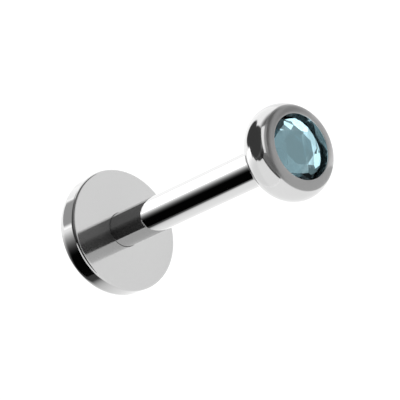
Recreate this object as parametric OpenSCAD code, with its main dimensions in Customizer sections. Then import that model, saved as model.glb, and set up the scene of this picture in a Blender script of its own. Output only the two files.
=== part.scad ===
// Labret stud, lying on its side on a flat surface as it rests by itself.
// Every piece is drawn upright in the stud's own frame: its axis is Z, the face of the disc that
// the post stands on is at height 0, and the head is above it. The whole stud is then laid down,
// so that the rim of the disc and the side of the head both touch the surface at Z = 0.

/* [Base disc] */
// Diameter of the base disc
disc_d = 4.25; // [3.6:0.05:6]
// Thickness of the base disc
disc_t = 1.0; // [0.8:0.05:1.6]
// Radius of the fine rounding round the face that the post stands on
disc_face_round = 0.1; // [0.04:0.01:0.2]
// Radius of the full rounding round the back
disc_back_round = 0.48; // [0.2:0.02:0.6]
// Metal left in the disc under the foot of the post
socket_floor_t = 0.4; // [0.2:0.05:0.6]

/* [Post] */
// Diameter of the post
post_d = 1.2; // [1:0.05:1.6]
// Length to wear, from the face of the disc to the back of the head
wear_l = 8.0; // [5:0.5:16]
// Wall of the post round the hole that takes the pin
post_wall = 0.22; // [0.16:0.02:0.3]

/* [Head] */
// Width of the satin rim round the opening
rim_w = 0.265; // [0.2:0.005:0.4]
// How far the rim rises from its outer edge to the opening
rim_rise = 0.055; // [0.02:0.005:0.1]
// How far the rounded side stands out beyond the rim
side_bulge = 0.25; // [0.1:0.01:0.35]
// Depth of the straight wall below the rim's outer edge
wall_depth = 0.3; // [0.24:0.01:0.5]
// How far the lip reaches over the edge of the stone
lip_over = 0.05; // [0.02:0.01:0.08]
// Metal between the seat of the stone and the back of the head
cup_floor_t = 0.69; // [0.4:0.01:0.9]

/* [Pin] */
// Length of the plain pin below the back of the head
pin_l = 2.0; // [1:0.1:3]
// Chamfer round the end of the pin
pin_chamfer = 0.1; // [0.04:0.01:0.16]
// Extra depth of the hole beyond the end of the pin
pin_hole_spare = 0.3; // [0.1:0.05:0.5]

/* [Stone] */
// Diameter of the stone at its girdle
stone_d = 2.27; // [2:0.01:2.8]
// Thickness of the girdle
girdle_t = 0.1; // [0.06:0.01:0.16]
// Height of the crown, from the girdle's upper edge to the table
crown_h = 0.28; // [0.2:0.01:0.3]
// Slope of the eight main facets of the crown
crown_main_angle = 27; // [25:1:30]
// Slope of the eight star facets beside the table
crown_star_angle = 15; // [12:1:18]
// Slope of the sixteen girdle facets of the crown
crown_girdle_angle = 34; // [32:1:38]
// Turn of the stone about its axis in the cup
stone_turn = 0; // [0:0.5:45]

/* [Fits] */
// Radial clearance between pieces that fit into each other
fit_gap = 0.02; // [0.01:0.005:0.03]
// Gap between faces that are seated on each other
seat_gap = 0.01; // [0.005:0.005:0.02]

/* [Hidden] */
$fn = 96;
main_facets = 8;
half_step = 180 / main_facets;
overshoot = 1;
disc_r = disc_d / 2;
post_r = post_d / 2;
stone_r = stone_d / 2;
face_round = min(disc_face_round, disc_t / 4);
back_round = min(disc_back_round, disc_t - face_round - seat_gap, disc_r - post_r);
socket_r = post_r + fit_gap;
socket_depth = disc_t - socket_floor_t;
pin_hole_r = post_r - post_wall;
pin_r = pin_hole_r - fit_gap;

// The stone's flats and girdle facets reach the full radius at their corners. The main facets
// stop a hair short of the girdle and of the table, so that no more than four faces meet there.
facet_stop = 0.004;
main_facet_r = stone_r + facet_stop;
girdle_facet_r = stone_r * cos(half_step / 2);

// The cup, measured down from the rim's outer edge: straight wall, lip, pocket for the girdle and
// a flat seat for the stone's flat back
opening_r = stone_r - lip_over;
pocket_r = stone_r + fit_gap;
girdle_top_depth = wall_depth + lip_over * tan(crown_girdle_angle) + seat_gap;
seat_depth = girdle_top_depth + girdle_t + seat_gap;
head_t = seat_depth + cup_floor_t;

// The side of the head is one arc from the edge of its back to the outer edge of its rim
rim_outer_r = opening_r + rim_w;
head_r = rim_outer_r + side_bulge;
side_r = (pow(head_t / 2, 2) + pow(side_bulge, 2)) / (2 * side_bulge);
side_centre_r = head_r - side_r;

// Heights along the axis of the stud
head_mid_z = wear_l + head_t / 2;
rim_z = wear_l + head_t;
post_top_z = wear_l - seat_gap;
girdle_top_z = rim_z - girdle_top_depth;

// How the stud lies: one straight line touches the disc's fine rounding and the head's side
disc_touch_r = disc_r - face_round;
touch_dz = head_mid_z + face_round;
touch_dr = disc_touch_r - side_centre_r;
touch_span = sqrt(pow(touch_dz, 2) + pow(touch_dr, 2));
lean = atan2(touch_dr, touch_dz) - asin((side_r - face_round) / touch_span);
axis_height = disc_touch_r * cos(lean) - face_round * sin(lean) + face_round;
// Furthest points at either end, so that the middle of the stud is over the origin
back_end_x = -(disc_t - back_round) * cos(lean) - (disc_r - back_round) * sin(lean) - back_round;
front_end_x = max(rim_z * cos(lean) + rim_outer_r * sin(lean),
                  (rim_z + rim_rise) * cos(lean) + opening_r * sin(lean));
middle_x = (back_end_x + front_end_x) / 2;

module as_it_lies() {
    translate([-middle_x, 0, axis_height]) rotate([0, 90 + lean, 0]) children();
}

// A rectangle in section, from the axis out to radius r and from height z_low to z_high
module section(r, z_low, z_high) {
    translate([0, z_low]) square([r, z_high - z_low]);
}

module disc_section() {
    section(disc_r, -(disc_t - back_round), -face_round);
    section(disc_r - face_round, -(disc_t - back_round), 0);
    section(disc_r - back_round, -disc_t, 0);
    translate([disc_r - face_round, -face_round]) circle(r = face_round);
    translate([disc_r - back_round, -(disc_t - back_round)]) circle(r = back_round);
}

module base_disc() {
    color("silver") as_it_lies() rotate_extrude() difference() {
        disc_section();
        section(socket_r, -socket_depth, overshoot);
    }
}

module post() {
    color("gainsboro") as_it_lies() rotate_extrude() difference() {
        section(post_r, -socket_depth + seat_gap, post_top_z);
        section(pin_hole_r, wear_l - pin_l - pin_hole_spare, post_top_z + overshoot);
    }
}

module head_section() {
    section(side_centre_r, wear_l, rim_z);
    intersection() {
        translate([side_centre_r, head_mid_z]) circle(r = side_r);
        section(head_r, wear_l, rim_z);
    }
    polygon([
        [0, head_mid_z],
        [side_centre_r, head_mid_z],
        [rim_outer_r, rim_z],
        [opening_r, rim_z + rim_rise],
        [0, rim_z + rim_rise]
    ]);
}

module cup_section() {
    polygon([
        [0, rim_z + overshoot],
        [opening_r, rim_z + overshoot],
        [opening_r, rim_z - wall_depth],
        [pocket_r, rim_z - wall_depth],
        [pocket_r, rim_z - seat_depth],
        [0, rim_z - seat_depth]
    ]);
}

// The pin runs up into the solid middle of the head, where the cup is then cut
module pin() {
    translate([0, 0, wear_l - pin_l + pin_chamfer])
        cylinder(r = pin_r, h = pin_l - pin_chamfer + head_t / 4);
    translate([0, 0, wear_l - pin_l])
        cylinder(r1 = pin_r - pin_chamfer, r2 = pin_r, h = pin_chamfer);
}

module bezel_head() {
    color("darkgray") as_it_lies() difference() {
        union() {
            rotate_extrude() head_section();
            pin();
        }
        rotate_extrude() cup_section();
    }
}

// A pyramid of main_facets faces with one slope. Each face is at distance r from the axis at
// height 0, and the pyramid's foot is at height low.
module facet_pyramid(turn, r, slope, low) {
    foot_r = (r - low / tan(slope)) / cos(half_step);
    rotate([0, 0, turn + half_step]) translate([0, 0, low])
        cylinder(r1 = foot_r, r2 = 0, h = r * tan(slope) - low, $fn = main_facets);
}

// Two turned pyramids give the girdle facets, one to either side of each main facet
module main_and_girdle_facets(low) {
    intersection() {
        facet_pyramid(0, main_facet_r, crown_main_angle, low);
        facet_pyramid(half_step / 2, girdle_facet_r, crown_girdle_angle, low);
        facet_pyramid(-half_step / 2, girdle_facet_r, crown_girdle_angle, low);
    }
}

// Star facets run from the edges of the table down between the main facets
module star_facets(low) {
    table_r = (stone_r - crown_h / tan(crown_main_angle)) * cos(half_step);
    facet_pyramid(half_step, table_r + crown_h / tan(crown_star_angle), crown_star_angle, low);
}

// Two turned prisms give the flats of the girdle, and their ends the table and the flat back
module girdle_flats() {
    corner_r = girdle_facet_r / cos(half_step);
    intersection() {
        rotate([0, 0, half_step * 1.5]) translate([0, 0, -girdle_t])
            cylinder(r = corner_r, h = girdle_t + crown_h, $fn = main_facets);
        rotate([0, 0, half_step / 2]) translate([0, 0, -girdle_t])
            cylinder(r = corner_r, h = girdle_t + crown_h, $fn = main_facets);
    }
}

// The upper edge of the girdle is at height 0
module cut_stone() {
    low = -girdle_t * 2;
    intersection() {
        girdle_flats();
        main_and_girdle_facets(low);
        star_facets(low);
    }
}

module stone() {
    color("lightsteelblue") as_it_lies()
        translate([0, 0, girdle_top_z]) rotate([0, 0, stone_turn]) cut_stone();
}

base_disc();
post();
bezel_head();
stone();
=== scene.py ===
# %% [markdown]
# # A labret stud, dressed in Blender
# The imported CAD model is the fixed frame: it says where every piece is and how big it is. This
# lesson gives the stud the finish of the real one. The steel pieces are turned again as smooth
# spun sections, because a mirror shows every facet of a coarse mesh, and the stone is cut facet
# by facet, as a lapidary cuts it.

# %% Load the frame
from math import asin, cos, degrees, pi, radians, sin, tan

import bmesh
import bpy
from mathutils import Matrix, Vector


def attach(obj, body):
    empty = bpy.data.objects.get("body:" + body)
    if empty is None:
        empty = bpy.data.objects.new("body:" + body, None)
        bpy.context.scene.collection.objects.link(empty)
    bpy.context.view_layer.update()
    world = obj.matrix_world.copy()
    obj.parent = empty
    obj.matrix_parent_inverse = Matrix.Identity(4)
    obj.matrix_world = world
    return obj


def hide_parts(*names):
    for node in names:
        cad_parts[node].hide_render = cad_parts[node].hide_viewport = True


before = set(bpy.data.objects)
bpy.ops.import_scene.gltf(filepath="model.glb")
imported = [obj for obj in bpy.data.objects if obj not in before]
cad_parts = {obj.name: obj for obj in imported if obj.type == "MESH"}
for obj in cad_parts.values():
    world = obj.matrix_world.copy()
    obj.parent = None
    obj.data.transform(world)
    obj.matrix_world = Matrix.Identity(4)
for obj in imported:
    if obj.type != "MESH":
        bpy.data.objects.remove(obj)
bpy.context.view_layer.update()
MM = 0.001


# %% [markdown]
# ## How the stud lies
# A stud is a turned piece, so each part is easiest to draw upright, round its own axis, with the
# face of the disc at height 0. On a table it rests on the rim of the disc and the side of the
# head, so its axis dips a little towards the head. The dip and the place of the disc's face are
# the CAD model's own. One matrix lays every finished mesh down, and the objects themselves stay
# at the origin.

# %% Lay the stud down
LEAN = radians(3.4563)
FACE_CENTRE = Vector((-4.0746, 0, 2.1153)) * MM
LAY = Matrix.Translation(FACE_CENTRE) @ Matrix.Rotation(radians(90) + LEAN, 4, "Y")
print("axis runs towards", [round(v, 4) for v in LAY.to_3x3() @ Vector((0, 0, 1))])

# %% [markdown]
# ## The camera
# The photograph was taken from the head's side, about 27 degrees above the table, with a long
# lens, and the picture was turned so that the stud points up to the right. The place, the lens
# and the turn come from fitting a pinhole camera to the outlines in the photograph.

# %% Set the camera
CAMERA_AT = Vector((66.351, -40.445, 41.821)) * MM
CAMERA_AIM = Vector((-0.0194, -0.1853, 1.8131)) * MM
CAMERA_ROLL = radians(-65.64)
camera_data = bpy.data.cameras.new("camera")
camera_data.lens = 242.57
camera_data.sensor_width = 36
camera_data.clip_start = 0.005
camera_data.clip_end = 20
camera = bpy.data.objects.new("camera", camera_data)
bpy.context.scene.collection.objects.link(camera)
look = (CAMERA_AIM - CAMERA_AT).to_track_quat("-Z", "Y").to_matrix().to_4x4()
camera.matrix_world = Matrix.Translation(CAMERA_AT) @ look @ Matrix.Rotation(CAMERA_ROLL, 4, "Z")
bpy.context.scene.camera = camera
bpy.context.scene.view_settings.view_transform = "Standard"
print("camera is", round((CAMERA_AIM - CAMERA_AT).length / MM, 1), "mm away")

# %% [markdown]
# ## A lathe in four helpers
# A turned piece is a half section spun about its axis. The section is drawn with a pen: straight
# cuts and arcs, each made by an operator from the last point. A straight cut gets a holding point
# near either end, which keeps a flat face flat when the mesh is shaded smooth. That matters on a
# mirror: a normal that is one degree off moves a reflection by two.

# %% The pen and the lathe
# HOLD is in mm as the sections are, and SAME_POINT in metres
HOLD = 0.012
SPIN_STEPS = 256
SAME_POINT = 1e-8


def start_at(bm, r, z):
    """Sets the pen down at distance r from the axis and height z, both in mm"""
    return bmesh.ops.create_vert(bm, co=(r * MM, 0, z * MM))["vert"][0]


def cut_to(bm, point, r, z):
    """Draws a straight cut to r and z, with a holding point near either end"""
    begin, end = point.co.copy(), Vector((r * MM, 0, z * MM))
    hold = min(HOLD * MM, (end - begin).length / 4)
    along = (end - begin).normalized() * hold
    for place in (begin + along, end - along, end):
        point = bmesh.ops.extrude_vert_indiv(bm, verts=[point])["verts"][0]
        point.co = place
    return point


def arc_round(bm, point, r, z, turn, steps):
    """Draws an arc of turn degrees about the centre at r and z"""
    made = bmesh.ops.spin(bm, geom=[point], cent=(r * MM, 0, z * MM), axis=(0, -1, 0),
                          angle=radians(turn), steps=steps)["geom_last"]
    return next(g for g in made if isinstance(g, bmesh.types.BMVert))


def spin_section(bm):
    """Spins the half section right round the axis and closes it"""
    bmesh.ops.spin(bm, geom=bm.verts[:] + bm.edges[:], cent=(0, 0, 0), axis=(0, 0, 1),
                   angle=2 * pi, steps=SPIN_STEPS, use_merge=True)
    bmesh.ops.remove_doubles(bm, verts=bm.verts, dist=SAME_POINT)
    bmesh.ops.recalc_face_normals(bm, faces=bm.faces)


print("the lathe takes", SPIN_STEPS, "steps round a piece")

# %% [markdown]
# ## From bmesh to a piece
# Every piece is finished the same way: laid down, shaded smooth except across true edges, and
# turned into an object at the origin that rides on the model's one body and stands for its CAD
# node.

# %% Finish a piece
EDGE_ANGLE = radians(24)


def finish_piece(bm, name, node, materials, smooth=True):
    """Makes an object of the mesh, with the given materials in its slots"""
    bmesh.ops.transform(bm, matrix=LAY, verts=bm.verts)
    for face in bm.faces:
        face.smooth = smooth
    for edge in bm.edges:
        edge.smooth = edge.calc_face_angle(0) < EDGE_ANGLE
    state = "closed," if all(edge.is_manifold for edge in bm.edges) else "OPEN,"
    volume = bm.calc_volume(signed=True) / MM ** 3
    mesh = bpy.data.meshes.new(name)
    bm.to_mesh(mesh)
    bm.free()
    piece = bpy.data.objects.new(name, mesh)
    bpy.context.scene.collection.objects.link(piece)
    for material in materials:
        mesh.materials.append(material)
    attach(piece, "root")
    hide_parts(node)
    print(name, len(mesh.polygons), "faces,", state, round(volume, 2), "mm3")
    return piece


print("edges sharper than", round(degrees(EDGE_ANGLE)), "degrees stay sharp")

# %% [markdown]
# ## Colours and nodes
# Colours are written as the hex values that a picture shows, and one function turns them into
# the linear numbers that light adds up in. One small function adds a node, with its settings and
# what feeds each socket. A Mix node has sockets of the same name for numbers and for colours, so
# it is wired by their places, which get names here.

# %% Colour and node helpers
STEEL_GREY = "#bdbdbd"
MIX_BY, NUMBER_A, NUMBER_B, COLOUR_A, COLOUR_B = 0, 2, 3, 6, 7
NUMBER_OUT, COLOUR_OUT = 0, 2


def linear(hex_colour):
    """The standard sRGB curve, with an alpha of 1 at the end"""
    channels = [int(hex_colour[i:i + 2], 16) / 255 for i in (1, 3, 5)]
    return [c / 12.92 if c <= 0.04045 else ((c + 0.055) / 1.055) ** 2.4 for c in channels] + [1]


def add_node(tree, kind, feeds=None, **settings):
    """Adds a node; feeds gives a link or a value for each socket"""
    made = tree.nodes.new(kind)
    for name, value in settings.items():
        setattr(made, name, value)
    for socket, value in (feeds or {}).items():
        if isinstance(value, bpy.types.NodeSocket):
            tree.links.new(value, made.inputs[socket])
        else:
            made.inputs[socket].default_value = value
    return made


def new_material(name):
    material = bpy.data.materials.new(name)
    material.use_nodes = True
    material.node_tree.nodes.clear()
    return material, material.node_tree


print("steel", STEEL_GREY, "in linear light:", [round(c, 3) for c in linear(STEEL_GREY)[:3]])

# %% [markdown]
# ## Where a point is on the stud
# Lathe marks run round the axis, and the satin of the rim starts at a set height. So the finishes
# ask how far a point is from the axis and how high it is on the upright stud. A Mapping node
# stands the lying stud's Object coordinates up again, with the inverse of the matrix that laid it
# down.

# %% Distance and height on the stud
def on_the_stud(tree):
    """A point's place on the upright stud, its distance from the axis and its height"""
    back = LAY.inverted()
    place = add_node(tree, "ShaderNodeMapping", {
        "Vector": add_node(tree, "ShaderNodeTexCoord").outputs["Object"],
        "Location": back.to_translation(), "Rotation": back.to_euler()}).outputs[0]
    apart = add_node(tree, "ShaderNodeSeparateXYZ", {0: place})
    across = add_node(tree, "ShaderNodeCombineXYZ", {0: apart.outputs[0], 1: apart.outputs[1]})
    radius = add_node(tree, "ShaderNodeVectorMath", {0: across.outputs[0]}, operation="LENGTH")
    return place, radius.outputs["Value"], apart.outputs[2]


face_upright = LAY.inverted() @ FACE_CENTRE
print("stood up, the disc's face is", round(face_upright.length / MM, 6), "mm from height 0")

# %% [markdown]
# ## Polished steel
# Surgical steel is 316L, a grey metal that reflects about half of the light that falls on it.
# The post was turned and then buffed, so it is close to a mirror: hard black and white
# reflections, and only the faintest rings from the lathe. The disc is a little duller, and its
# flat face was lapped: it scatters about a tenth of the light, so that the post's reflection in
# it is dark grey and not black. Real lathe rings are about 0.02 mm apart. They are drawn here
# 0.05 mm apart, because finer ones would only flicker at this picture's size. The buffing wheel
# leaves clouds about a millimetre wide, where the polish is a little finer or coarser.

# %% Polished steel
RING_WIDTH, RING_BUMP, BUMP_DEPTH = 0.05 * MM, 0.02, 0.01 * MM
CLOUD_WIDTH, CLOUD_LOW, CLOUD_HIGH = 1.25 * MM, 0.35, 0.65
FACE_FROM, FACE_TO = -0.04 * MM, -0.01 * MM
LAPPED_GREY = "#b6b6b6"


def polished_steel(name, colour, finest, roughest, face_scatter=0.0):
    """Steel with rings and clouds; a lapped face scatters the given share of the light"""
    material, tree = new_material(name)
    place, radius, height = on_the_stud(tree)
    ring_place = add_node(tree, "ShaderNodeCombineXYZ", {0: radius, 1: height})
    rings = add_node(tree, "ShaderNodeTexNoise", {
        "Vector": ring_place.outputs[0], "Scale": 1 / RING_WIDTH, "Detail": 2.0,
        "Roughness": 0.5}, noise_dimensions="2D")
    bump = add_node(tree, "ShaderNodeBump", {
        "Height": rings.outputs["Fac"], "Strength": RING_BUMP, "Distance": BUMP_DEPTH})
    clouds = add_node(tree, "ShaderNodeTexNoise", {
        "Vector": place, "Scale": 1 / CLOUD_WIDTH, "Detail": 3.0})
    rough = add_node(tree, "ShaderNodeMapRange", {
        "Value": clouds.outputs["Fac"], "From Min": CLOUD_LOW, "From Max": CLOUD_HIGH,
        "To Min": finest, "To Max": roughest})
    mirror = 1.0
    if face_scatter:
        mirror = add_node(tree, "ShaderNodeMapRange", {
            "Value": height, "From Min": FACE_FROM, "From Max": FACE_TO,
            "To Min": 1.0, "To Max": 1.0 - face_scatter}).outputs[0]
    steel = add_node(tree, "ShaderNodeBsdfPrincipled", {
        "Base Color": linear(colour), "Metallic": mirror, "Roughness": rough.outputs[0],
        "Normal": bump.outputs[0]})
    add_node(tree, "ShaderNodeOutputMaterial", {"Surface": steel.outputs[0]})
    return material


# Lapped: reflections are a little blurred, and on the face black turns into dark grey
disc_steel = polished_steel("lapped_surgical_steel", LAPPED_GREY, 0.07, 0.1, 0.12)
# Buffed: a mirror with hard edges between black and white
post_steel = polished_steel("mirror_polished_surgical_steel", STEEL_GREY, 0.03, 0.055)
print("made", disc_steel.name, "and", post_steel.name)

# %% [markdown]
# ## Head steel
# The head is the same steel, but it shows two finishes: its rounded side and the wall of its cup
# are polished, and the rim round the stone has the satin of a fine turning tool or a paper
# wheel. The cup's wall gets the lightest grey, with a faint blue: partly the burnished finish
# that its cutting tool leaves, partly painted light that lifts the ring round the stone towards
# teal.
# One material does it all, with a mask that reads how far a point is from the axis and how high
# it is. The satin's grain is drawn about 0.05 mm wide, coarser than the real one.

# %% Head steel with a satin rim
RIM_Z, OPENING_R, SEAT_Z = 9.1437, 1.085, 8.69
SATIN_FROM, SATIN_TO = RIM_Z - 0.09, RIM_Z - 0.05
LIP_FROM, LIP_TO = OPENING_R + 0.002, OPENING_R + 0.012
CUP_FROM, CUP_TO = SEAT_Z - 0.15, SEAT_Z - 0.05
# The cup's grey is lighter and faintly blue: burnished steel, with painted light that lifts the
# ring round the stone
CUP_PAINTED_LIGHT_GREY, SATIN_GREY = "#dadfe0", "#868686"
POLISH_ROUGH, SATIN_ROUGH = 0.1, 0.36
GRAIN_WIDTH, GRAIN_BUMP = 0.05 * MM, 0.1


def head_steel_with_satin_rim():
    """Bright polish on the side, brighter in the cup; the satin rim blurs all to an even grey"""
    material, tree = new_material("polished_steel_with_satin_rim")
    place, radius, height = on_the_stud(tree)
    high = add_node(tree, "ShaderNodeMapRange", {
        "Value": height, "From Min": SATIN_FROM * MM, "From Max": SATIN_TO * MM},
        interpolation_type="SMOOTHSTEP")
    outside = add_node(tree, "ShaderNodeMapRange", {
        "Value": radius, "From Min": LIP_FROM * MM, "From Max": LIP_TO * MM},
        interpolation_type="SMOOTHSTEP")
    satin = add_node(tree, "ShaderNodeMath", {0: high.outputs[0], 1: outside.outputs[0]},
                     operation="MULTIPLY")
    above_back = add_node(tree, "ShaderNodeMapRange", {
        "Value": height, "From Min": CUP_FROM * MM, "From Max": CUP_TO * MM})
    inside = add_node(tree, "ShaderNodeMath", {0: 1.0, 1: outside.outputs[0]},
                      operation="SUBTRACT")
    cup_wall = add_node(tree, "ShaderNodeMath", {0: above_back.outputs[0], 1: inside.outputs[0]},
                        operation="MULTIPLY")
    # Painted light: the cup's wall takes the lighter, bluer grey
    bare = add_node(tree, "ShaderNodeMix", {
        MIX_BY: cup_wall.outputs[0], COLOUR_A: linear(STEEL_GREY), COLOUR_B: linear(CUP_PAINTED_LIGHT_GREY)},
        data_type="RGBA")
    shade = add_node(tree, "ShaderNodeMix", {
        MIX_BY: satin.outputs[0], COLOUR_A: bare.outputs[COLOUR_OUT],
        COLOUR_B: linear(SATIN_GREY)}, data_type="RGBA")
    rough = add_node(tree, "ShaderNodeMapRange", {
        "Value": satin.outputs[0], "To Min": POLISH_ROUGH, "To Max": SATIN_ROUGH})
    grain = add_node(tree, "ShaderNodeTexNoise", {
        "Vector": place, "Scale": 1 / GRAIN_WIDTH, "Detail": 2.0})
    scratched = add_node(tree, "ShaderNodeMath", {0: grain.outputs["Fac"], 1: satin.outputs[0]},
                         operation="MULTIPLY")
    bump = add_node(tree, "ShaderNodeBump", {
        "Height": scratched.outputs[0], "Strength": GRAIN_BUMP, "Distance": BUMP_DEPTH})
    steel = add_node(tree, "ShaderNodeBsdfPrincipled", {
        "Base Color": shade.outputs[COLOUR_OUT], "Metallic": 1.0, "Roughness": rough.outputs[0],
        "Normal": bump.outputs[0]})
    add_node(tree, "ShaderNodeOutputMaterial", {"Surface": steel.outputs[0]})
    return material


head_steel = head_steel_with_satin_rim()
print("made", head_steel.name)

# %% [markdown]
# ## Base disc
# The disc is a turned puck, 4.25 mm across and 1 mm thick. Its back edge is fully rounded,
# because it lies against the gum or the skin, and its face has only a fine rounding. The post's
# foot sits in a socket in the middle.

# %% Turn the base disc
DISC_R, DISC_T, FACE_ROUND, BACK_ROUND = 2.125, 1.0, 0.1, 0.48
SOCKET_R, SOCKET_DEPTH, SOCKET_LIP = 0.608, 0.6, 0.008

bm = bmesh.new()
pen = start_at(bm, 0, -DISC_T)
pen = cut_to(bm, pen, DISC_R - BACK_ROUND, -DISC_T)
pen = arc_round(bm, pen, DISC_R - BACK_ROUND, -DISC_T + BACK_ROUND, turn=90, steps=24)
pen = cut_to(bm, pen, DISC_R, -FACE_ROUND)
pen = arc_round(bm, pen, DISC_R - FACE_ROUND, -FACE_ROUND, turn=90, steps=12)
pen = cut_to(bm, pen, SOCKET_R + SOCKET_LIP, 0)
pen = arc_round(bm, pen, SOCKET_R + SOCKET_LIP, -SOCKET_LIP, turn=90, steps=6)
pen = cut_to(bm, pen, SOCKET_R, -SOCKET_DEPTH)
pen = cut_to(bm, pen, 0, -SOCKET_DEPTH)
spin_section(bm)
base_disc = finish_piece(bm, "turned_base_disc", "base_disc", [disc_steel])

# %% [markdown]
# ## Post
# The post is a polished rod, 1.2 mm thick (16 gauge), with a blind hole at the head's end that
# takes the pin. It stops a hair short of the head, so the joint shows as a fine line, and its
# foot stands a hair above the floor of the socket.

# %% Turn the post
POST_R, POST_FOOT, POST_TOP, EDGE_BREAK = 0.6, -SOCKET_DEPTH + 0.01, 7.99, 0.02
HOLE_R, HOLE_BOTTOM = 0.38, 5.7

bm = bmesh.new()
pen = start_at(bm, 0, POST_FOOT)
pen = cut_to(bm, pen, POST_R, POST_FOOT)
pen = cut_to(bm, pen, POST_R, POST_TOP - EDGE_BREAK)
pen = arc_round(bm, pen, POST_R - EDGE_BREAK, POST_TOP - EDGE_BREAK, turn=90, steps=6)
pen = cut_to(bm, pen, HOLE_R, POST_TOP)
pen = cut_to(bm, pen, HOLE_R, HOLE_BOTTOM)
pen = cut_to(bm, pen, 0, HOLE_BOTTOM)
spin_section(bm)
post = finish_piece(bm, "polished_post", "post", [post_steel])

# %% [markdown]
# ## The arcs of the rim
# The rim isn't flat: from its rubbed outer edge it rises in one soft arc to a crest at the
# opening, where a fine rounding leads into the cup. Arcs that share their tangents make it, so
# the section has no corner there. Where one arc ends and the next begins, both centres and the
# joint lie on one line, and that gives every centre from four radii and one angle.

# %% Where the rim's arcs meet
HEAD_Z, HEAD_MID_Z, SIDE_R, SIDE_CENTRE_R = 8.0, 8.57186, 0.77905, 0.82095
RIM_RISE, RIM_FALL, RIM_ROUND, EDGE_ROUND = 0.055, 26, 0.50, 0.16
CREST_Z = RIM_Z + RIM_RISE

fall = radians(RIM_FALL)
side_to_edge, edge_to_rim = SIDE_R - EDGE_ROUND, RIM_ROUND - EDGE_ROUND
rim_start = asin((CREST_Z - HEAD_MID_Z - RIM_ROUND + edge_to_rim * cos(fall)) / side_to_edge)
side_low = asin((HEAD_MID_Z - HEAD_Z) / SIDE_R)
edge_centre_r = SIDE_CENTRE_R + side_to_edge * cos(rim_start)
edge_centre_z = HEAD_MID_Z + side_to_edge * sin(rim_start)
crest_r = edge_centre_r - edge_to_rim * sin(fall)
lip_round = crest_r - OPENING_R
print("the side ends", round(degrees(rim_start), 2), "degrees up")
print("the lip's rounding is", round(lip_round, 4), "mm")

# %% [markdown]
# ## Bezel head
# The head is one turned piece: a pin below, a rounded side, the rim, and a cup with a straight
# wall, a lip that was pressed over the stone's edge, and a flat seat. The pin is plain, because
# nothing of it shows once it is in the post.

# %% Turn the bezel head
PIN_R, PIN_END, PIN_CHAMFER = 0.36, 6.0, 0.1
RIM_OUTER_R, WALL_DEPTH, POCKET_R = 1.35, 0.3, 1.155

bm = bmesh.new()
pen = start_at(bm, 0, PIN_END)
pen = cut_to(bm, pen, PIN_R - PIN_CHAMFER, PIN_END)
pen = cut_to(bm, pen, PIN_R, PIN_END + PIN_CHAMFER)
pen = cut_to(bm, pen, PIN_R, HEAD_Z)
pen = cut_to(bm, pen, RIM_OUTER_R, HEAD_Z)
pen = arc_round(bm, pen, SIDE_CENTRE_R, HEAD_MID_Z, turn=degrees(side_low + rim_start), steps=40)
pen = arc_round(bm, pen, edge_centre_r, edge_centre_z, turn=90 - RIM_FALL - degrees(rim_start),
                steps=10)
pen = arc_round(bm, pen, crest_r, CREST_Z - RIM_ROUND, turn=RIM_FALL, steps=10)
pen = arc_round(bm, pen, crest_r, CREST_Z - lip_round, turn=90, steps=6)
pen = cut_to(bm, pen, OPENING_R, RIM_Z - WALL_DEPTH)
pen = cut_to(bm, pen, POCKET_R, RIM_Z - WALL_DEPTH)
pen = cut_to(bm, pen, POCKET_R, SEAT_Z)
pen = cut_to(bm, pen, 0, SEAT_Z)
spin_section(bm)
bezel_head = finish_piece(bm, "turned_bezel_head", "bezel_head", [head_steel])

# %% [markdown]
# ## Crystal and foil
# The stone is lead-free crystal glass, tinted pale blue, and its flat back is silvered. Light
# goes in through the crown, is thrown back by the silver and comes out again, so every facet
# shows another part of the room. Glass of this kind bends light with an index near 1.57, and a
# thin blue-grey coating on the crown tints what the facets mirror. Both finishes are the same
# all over, so every value is set on the shader's own socket.

# %% Crystal and its silvered back
CRYSTAL_TINT, COATING_TINT, SILVER = "#c0e8f2", "#9ccada", "#e6eaec"


def even_finish(name, sockets):
    material, tree = new_material(name)
    shader = add_node(tree, "ShaderNodeBsdfPrincipled", sockets)
    add_node(tree, "ShaderNodeOutputMaterial", {"Surface": shader.outputs[0]})
    return material


# Cut and polished glass: clear depth, a pale blue tint and sharp glints on the facets
crystal = even_finish("pale_blue_crystal", {
    "Base Color": linear(CRYSTAL_TINT), "Roughness": 0.0, "IOR": 1.57,
    "Transmission Weight": 1.0, "Specular Tint": linear(COATING_TINT)})
# Silvering: lights the facets up from behind
foil = even_finish("silvered_back", {
    "Base Color": linear(SILVER), "Metallic": 1.0, "Roughness": 0.02})
print("made", crystal.name, "and", foil.name)

# %% [markdown]
# ## A facet wheel
# A lapidary starts with a blank and grinds one flat after another at a set slope and a set turn
# of the index wheel. The same is done here: each facet is one bisect_plane that cuts the blank
# and closes the cut, so the facets meet in true straight edges. Girdle facets come in pairs, one
# to either side of each main facet.

# %% Cut facets like a lapidary
# ON_PLANE, in metres, is how near a corner counts as on the cut
MAINS, HALF_STEP = 8, 22.5
ON_PLANE = 1e-9


def grind(bm, count, first_turn, slope, reach, height):
    """Cuts count facets that lean in by slope, each at distance reach from the axis at height"""
    for k in range(count):
        turn = radians(first_turn + 360 * k / count)
        out = Vector((cos(turn) * sin(radians(slope)), sin(turn) * sin(radians(slope)),
                      cos(radians(slope)) * (1 if height >= 0 else -1)))
        on = Vector((cos(turn) * reach, sin(turn) * reach, height)) * MM
        cut = bmesh.ops.bisect_plane(bm, geom=bm.verts[:] + bm.edges[:] + bm.faces[:],
                                     dist=ON_PLANE, plane_co=on, plane_no=out,
                                     clear_outer=True)["geom_cut"]
        edges = [g for g in cut if isinstance(g, bmesh.types.BMEdge)]
        bmesh.ops.contextual_create(bm, geom=edges)


def grind_flat(bm, height):
    grind(bm, count=1, first_turn=0, slope=0, reach=0, height=height)


def grind_girdle_pair(bm, slope, reach):
    for first_turn in (HALF_STEP / 2, -HALF_STEP / 2):
        grind(bm, MAINS, first_turn, slope, reach, height=0)


print("the index wheel has a stop every", HALF_STEP, "degrees")

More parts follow.
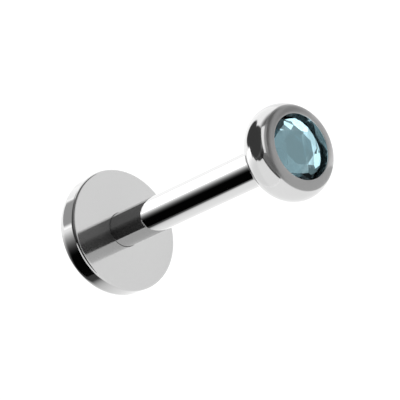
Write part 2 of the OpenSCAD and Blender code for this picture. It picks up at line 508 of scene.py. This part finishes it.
# %% [markdown]
# ## The stone
# The stone is a round flat-back, 2.27 mm across, with a table, eight star facets, eight main
# facets and sixteen girdle facets. It is ground from a round blank whose height 0 is the upper
# edge of the girdle: first the flats of the girdle, then the table, the crown and the flat back.
# The main facets are set out by a hair, so that no more than four faces meet in a corner. The
# silvered back gets a material slot of its own.

# %% Cut the stone
BLANK_R, BLANK_H, BLANK_SIDES = 1.4, 4, 64
STONE_R, GIRDLE_T, CROWN_H, GIRDLE_TOP_Z = 1.135, 0.10, 0.28, 8.8
CROWN_MAIN, CROWN_STAR, CROWN_GIRDLE, GIRDLE_WALL = 27, 15, 34, 90
SET_OUT = 0.004
CRYSTAL_SLOT, FOIL_SLOT = 0, 1
girdle_reach = STONE_R * cos(radians(HALF_STEP / 2))
table_reach = (STONE_R - CROWN_H / tan(radians(CROWN_MAIN))) * cos(radians(HALF_STEP))

bm = bmesh.new()
bmesh.ops.create_cone(bm, cap_ends=True, segments=BLANK_SIDES, radius1=BLANK_R * MM,
                      radius2=BLANK_R * MM, depth=BLANK_H * MM)
grind_girdle_pair(bm, GIRDLE_WALL, girdle_reach)
grind_flat(bm, CROWN_H)
grind(bm, MAINS, 0, CROWN_MAIN, STONE_R + SET_OUT, height=0)
grind(bm, MAINS, HALF_STEP, CROWN_STAR, table_reach, height=CROWN_H)
grind_girdle_pair(bm, CROWN_GIRDLE, girdle_reach)
grind_flat(bm, -GIRDLE_T)
bmesh.ops.recalc_face_normals(bm, faces=bm.faces)
for face in bm.faces:
    face.material_index = FOIL_SLOT if face.normal.z < -0.5 else CRYSTAL_SLOT
bmesh.ops.translate(bm, verts=bm.verts, vec=(0, 0, GIRDLE_TOP_Z * MM))
print("facets", len(bm.faces), "corners", len(bm.verts))
stone = finish_piece(bm, "cut_crystal", "stone", [crystal, foil], smooth=False)

# %% [markdown]
# ## The light table
# The stud lies on a light table: a sheet of opal acrylic lit from below, so the table stays pale
# under the stud and takes hardly a shadow. Far from the stud, towards one corner, the glow fades
# out: painted shade where the table falls out of the light. The polished post shows that as a
# grey that turns black at the horizon. Beside the head, two round spots of the glow are dimmed:
# a painted shadow of the head on the table, which the stone and the satin rim look at.

# %% Painted corner shade and shadow spots
def towards(turn, rise):
    """A direction, turn degrees from -Y towards +X and rise degrees above the table"""
    across = cos(radians(rise))
    return Vector((sin(radians(turn)) * across, -cos(radians(turn)) * across,
                   sin(radians(rise))))


DARK_WAY, DARK_WITHIN, DARK_BEYOND = towards(-68, 0), cos(radians(15)), cos(radians(50))
DARK_FROM, DARK_TO = 3 * MM, 26 * MM


def painted_corner_shade(tree, place):
    """Painted shade on the sheet: 0 near the stud and away from the corner, 1 far into it"""
    far = add_node(tree, "ShaderNodeVectorMath", {0: place}, operation="LENGTH")
    fade = add_node(tree, "ShaderNodeMapRange", {
        "Value": far.outputs["Value"], "From Min": DARK_FROM, "From Max": DARK_TO},
        interpolation_type="SMOOTHSTEP")
    outward = add_node(tree, "ShaderNodeVectorMath", {0: place}, operation="NORMALIZE")
    along = add_node(tree, "ShaderNodeVectorMath", {0: outward.outputs[0], 1: DARK_WAY},
                     operation="DOT_PRODUCT")
    corner = add_node(tree, "ShaderNodeMapRange", {
        "Value": along.outputs["Value"], "From Min": DARK_BEYOND, "From Max": DARK_WITHIN},
        interpolation_type="SMOOTHSTEP")
    return add_node(tree, "ShaderNodeMath", {0: fade.outputs[0], 1: corner.outputs[0]},
                    operation="MULTIPLY").outputs[0]


def painted_shadow_spot(tree, place, lit, x, y, inner, outer, share):
    """Dims the glow to a share over a round spot with soft edges, a painted shadow; sizes in mm
    """
    far = add_node(tree, "ShaderNodeVectorMath", {0: place, 1: Vector((x, y, 0)) * MM},
                   operation="DISTANCE")
    shadow_share = add_node(tree, "ShaderNodeMapRange", {
        "Value": far.outputs["Value"], "From Min": inner * MM, "From Max": outer * MM,
        "To Min": share}, interpolation_type="SMOOTHSTEP")
    return add_node(tree, "ShaderNodeMath", {0: lit, 1: shadow_share.outputs[0]},
                    operation="MULTIPLY").outputs[0]


print("the dark corner lies towards", [round(v, 2) for v in DARK_WAY])

# %% [markdown]
# ## Lit acrylic
# Opal acrylic is a milky cast sheet, and lit from below it glows nearly evenly, with no edge and
# no gloss. Its clouds are about 33 mm wide and one percent strong. A light path node tells who
# looks: the camera sees plain white, and the polished steel sees the true glow.

# %% Lay the sheet
GLOW_NEAR, UNEVEN, UNEVEN_SCALE = 1.3, 0.01, 30.0
ACRYLIC_GREY, WHITE, SHEET_HALF = "#787878", "#ffffff", 3.0


def lit_acrylic():
    """A glow without gloss and with painted shade, so that only the stud catches the eye"""
    material, tree = new_material("backlit_opal_acrylic")
    place = add_node(tree, "ShaderNodeTexCoord").outputs["Object"]
    # Painted shade: the glow falls from GLOW_NEAR to nothing far out towards the corner
    lit = add_node(tree, "ShaderNodeMapRange", {
        "Value": painted_corner_shade(tree, place), "To Min": GLOW_NEAR, "To Max": 0.0}).outputs[0]
    # Painted shadows of the head on the table: the first spot is for the stone, the second for
    # the rim
    lit = painted_shadow_spot(tree, place, lit, x=6.35, y=1.6, inner=0.9, outer=2.2, share=0.25)
    lit = painted_shadow_spot(tree, place, lit, x=9.0, y=5.5, inner=1.5, outer=4.5, share=0.35)
    cloud = add_node(tree, "ShaderNodeTexNoise", {
        "Vector": place, "Scale": UNEVEN_SCALE, "Detail": 2.0})
    uneven = add_node(tree, "ShaderNodeMapRange", {
        "Value": cloud.outputs["Fac"], "To Min": 1 - UNEVEN, "To Max": 1 + UNEVEN})
    glow = add_node(tree, "ShaderNodeMath", {0: lit, 1: uneven.outputs[0]}, operation="MULTIPLY")
    seen = add_node(tree, "ShaderNodeLightPath").outputs["Is Camera Ray"]
    strength = add_node(tree, "ShaderNodeMix", {
        MIX_BY: seen, NUMBER_A: glow.outputs[0], NUMBER_B: 1.0})
    sheet = add_node(tree, "ShaderNodeBsdfPrincipled", {
        "Base Color": linear(ACRYLIC_GREY), "Roughness": 0.9, "Specular IOR Level": 0.0,
        "Emission Color": linear(WHITE), "Emission Strength": strength.outputs[NUMBER_OUT]})
    add_node(tree, "ShaderNodeOutputMaterial", {"Surface": sheet.outputs[0]})
    return material


bm = bmesh.new()
bmesh.ops.create_grid(bm, x_segments=1, y_segments=1, size=SHEET_HALF)
floor_mesh = bpy.data.meshes.new("light_table")
bm.to_mesh(floor_mesh)
bm.free()
floor = bpy.data.objects.new("light_table", floor_mesh)
floor_mesh.materials.append(lit_acrylic())
bpy.context.scene.collection.objects.link(floor)
print("light table", [round(v, 2) for v in floor.dimensions])

# %% [markdown]
# ## Light of the room
# Polished steel has no look of its own: it shows the room. Behind the stud hangs one long bank
# of soft light that fades towards the camera and is dim to the right. A patch of dark grey
# ceiling and a round grey card hang in front of it. Together they are the dark patch that the
# head shows on its side, and the card greys the edge of the disc. The side of the room where the
# camera stands is dark, which draws the black band along the post.

# %% The room
BANK_LIGHT, RIGHT_SHARE, CEILING, DARK_ROOM = 2.0, 0.15, 0.09, 0.002
BANK_WAY, BANK_FROM, BANK_TO, BANK_CURVE = (0, 1, 0.4), -0.33, 0.27, 3.0
DIM_FROM, DIM_TO = -0.05, 0.25
CEILING_PATCH, GREY_CARD = (towards(-125, 77), 29, 33), (towards(-128, 44), 19, 24)


def patch(tree, way, centre, inner, outer, within, beyond):
    """A soft-edged round patch: one value within inner degrees, another beyond outer"""
    near = add_node(tree, "ShaderNodeVectorMath", {0: way, 1: centre.normalized()},
                    operation="DOT_PRODUCT")
    return add_node(tree, "ShaderNodeMapRange", {
        "Value": near.outputs["Value"], "From Min": cos(radians(outer)),
        "From Max": cos(radians(inner)), "To Min": beyond, "To Max": within},
        interpolation_type="SMOOTHSTEP").outputs[0]


world = bpy.data.worlds.new("studio")
bpy.context.scene.world = world
world.use_nodes = True
tree = world.node_tree
tree.nodes.clear()
way = add_node(tree, "ShaderNodeTexCoord").outputs["Generated"]
slant = add_node(tree, "ShaderNodeVectorMath", {0: way, 1: BANK_WAY}, operation="DOT_PRODUCT")
fade = add_node(tree, "ShaderNodeMapRange", {
    "Value": slant.outputs["Value"], "From Min": BANK_FROM, "From Max": BANK_TO})
bank = add_node(tree, "ShaderNodeMath", {0: fade.outputs[0], 1: BANK_CURVE}, operation="POWER")
parts = add_node(tree, "ShaderNodeSeparateXYZ", {0: way})
side = add_node(tree, "ShaderNodeMapRange", {
    "Value": parts.outputs[0], "From Min": DIM_FROM, "From Max": DIM_TO, "To Min": BANK_LIGHT,
    "To Max": BANK_LIGHT * RIGHT_SHARE}, interpolation_type="SMOOTHSTEP")
light = add_node(tree, "ShaderNodeMath", {0: bank.outputs[0], 1: side.outputs[0]},
                 operation="MULTIPLY")
for where in (CEILING_PATCH, GREY_CARD):
    light = add_node(tree, "ShaderNodeMath", {
        0: light.outputs[0], 1: patch(tree, way, *where, within=0, beyond=1)},
        operation="MULTIPLY")
for where in (CEILING_PATCH, GREY_CARD):
    light = add_node(tree, "ShaderNodeMath", {
        0: light.outputs[0], 1: patch(tree, way, *where, within=CEILING, beyond=DARK_ROOM)},
        operation="MAXIMUM")
seen = add_node(tree, "ShaderNodeLightPath").outputs["Is Camera Ray"]
strength = add_node(tree, "ShaderNodeMix", {
    MIX_BY: seen, NUMBER_A: light.outputs[0], NUMBER_B: 1.0})
background = add_node(tree, "ShaderNodeBackground", {"Strength": strength.outputs[NUMBER_OUT]})
add_node(tree, "ShaderNodeOutputWorld", {"Surface": background.outputs[0]})
print("bank of light", BANK_LIGHT, "ceiling", CEILING)

# %% [markdown]
# ## Soft boxes
# A product photographer lights the pieces one by one and joins the exposures. Light linking does
# the same in one render: a lamp can shine on named pieces only. Each soft box is an area lamp.
# Its brightness is given as the brightness of its face, and the lamp's power follows from its
# area. Most of them hang on a ring round the stud, and their sizes are given in degrees.

# %% Soft boxes
RING = 0.4
PANEL_HALF_WIDE = 15


def group_of(name, *pieces):
    group = bpy.data.collections.new(name)
    for piece in pieces:
        group.objects.link(piece)
    return group


def soft_box(name, place, away, width, height, brightness, group=None):
    """A lamp at a place, shining against the direction away; with no height it is round"""
    data = bpy.data.lights.new(name, "AREA")
    data.shape = "RECTANGLE" if height else "DISK"
    data.size = width
    if height:
        data.size_y = height
    area = width * height if height else pi * width * width / 4
    data.energy = brightness * pi * area
    lamp = bpy.data.objects.new(name, data)
    turned = away.to_track_quat("Z", "Y").to_matrix().to_4x4()
    lamp.matrix_world = Matrix.Translation(place) @ turned
    lamp.visible_camera = False
    if group:
        lamp.light_linking.receiver_collection = group
    bpy.context.scene.collection.objects.link(lamp)
    return lamp


def panel_on_ring(name, turn, rise, brightness, group):
    """An upright panel that stands on the table, rise degrees tall"""
    width, height = 2 * RING * tan(radians(PANEL_HALF_WIDE)), RING * tan(radians(rise))
    out = towards(turn, 0)
    middle = out * RING + Vector((0, 0, height / 2))
    soft_box(name, middle, out, width, height, brightness, group)


def lamp_on_ring(name, turn, rise, half_wide, half_high, brightness, group):
    """A lamp that hangs turn and rise degrees round the ring; half_high 0 makes it round"""
    out = towards(turn, rise)
    soft_box(name, out * RING, out, 2 * RING * tan(radians(half_wide)),
             2 * RING * tan(radians(half_high)), brightness, group)


head_group = group_of("head_only", bezel_head)
disc_group = group_of("disc_only", base_disc)
post_group = group_of("post_only", post)
steel_group = group_of("all_steel", base_disc, post, bezel_head)
stone_group = group_of("stone_only", stone)
print("the ring is", 2 * RING, "m across")

# %% [markdown]
# ## Lamps for the steel
# To the left of the camera stand upright panels, two for all the steel and two more, further
# round, for the head. Round the camera the head sees only a faint glow, and beyond that one
# bright lamp, high up, that edges its right side. The post and the disc each see a round lamp in
# the place of the grey card: a strong one for the bright upper line of the post, and a weak one
# that lifts the card's grey on the edge of the disc.

# %% Lamps for the steel
panel_on_ring("head_front_left", -80, 50, 1.25, head_group)
panel_on_ring("head_front", -50, 54, 1.25, head_group)
panel_on_ring("front", -20, 57, 1.35, steel_group)
panel_on_ring("front_right", 10, 57, 1.35, steel_group)
panel_on_ring("head_dim", 45, 57, 0.25, head_group)
panel_on_ring("head_dim_right", 75, 45, 0.45, head_group)
lamp_on_ring("head_right", 108, 52, 28, 14, 1.25, head_group)
lamp_on_ring("post_back", -128, 45, 25, 0, 1.9, post_group)
lamp_on_ring("disc_back", -128, 45, 25, 0, 0.5, disc_group)

# %% [markdown]
# ## Lamps for the stone
# The facets and the silver under them look round the camera and to the right of it. A wide lamp
# hangs high there and a narrower one low, so that some facets flash and their neighbours stay
# darker, and a faint round one keeps the darker ones blue.

# %% Lamps for the stone
lamp_on_ring("stone_high", 82, 36, 44, 12, 1.8, stone_group)
lamp_on_ring("stone_low", 105, 9, 25, 7, 1.6, stone_group)
lamp_on_ring("stone_fill", 55, 28, 50, 0, 0.4, stone_group)

# %% [markdown]
# ## Lamps in the table
# A facet low on the stone looks at the table beside the head, and so does the head's lower side.
# Small lamps lie a hair above the sheet and shine up from there. One of them is as large as the
# whole dark corner: it fills the corner in again for the head, whose lower side is pale.

# %% Lamps in the table
DOWN = Vector((0, 0, -1))
JUST_ABOVE = 0.05 * MM
CORNER_MIDDLE, CORNER_SIZE = (-0.33, -0.2), 0.8


def lamp_in_table(name, x, y, width, height, brightness, group):
    return soft_box(name, Vector((x, y, JUST_ABOVE)), DOWN, width, height, brightness, group)


lamp_in_table("stone_under", 7.8 * MM, -1.25 * MM, 3.8 * MM, 3.7 * MM, 1.4, stone_group)
lamp_in_table("head_under", 6.4 * MM, 1.5 * MM, 3.0 * MM, 3.0 * MM, 1.0, head_group)
corner = lamp_in_table("head_corner", *CORNER_MIDDLE, CORNER_SIZE, CORNER_SIZE, GLOW_NEAR,
                       head_group)
corner.data.use_nodes = True
tree = corner.data.node_tree
tree.nodes.clear()
spot = add_node(tree, "ShaderNodeNewGeometry").outputs["Position"]
glow = add_node(tree, "ShaderNodeEmission", {"Strength": painted_corner_shade(tree, spot)})
add_node(tree, "ShaderNodeOutputLight", {"Surface": glow.outputs[0]})
print("the corner's lamp is", CORNER_SIZE, "m wide")

# %% [markdown]
# ## Light from above
# One large round box over the stud lights only what scatters light: the lapped face of the disc
# and the sheet that the stud lies on. Mirrored steel and crystal don't show it.

# %% Light from above
above = soft_box("overhead", Vector((0, 0.05, 0.35)), -DOWN, width=0.5, height=0, brightness=0.5)
above.visible_glossy = False
above.visible_transmission = False
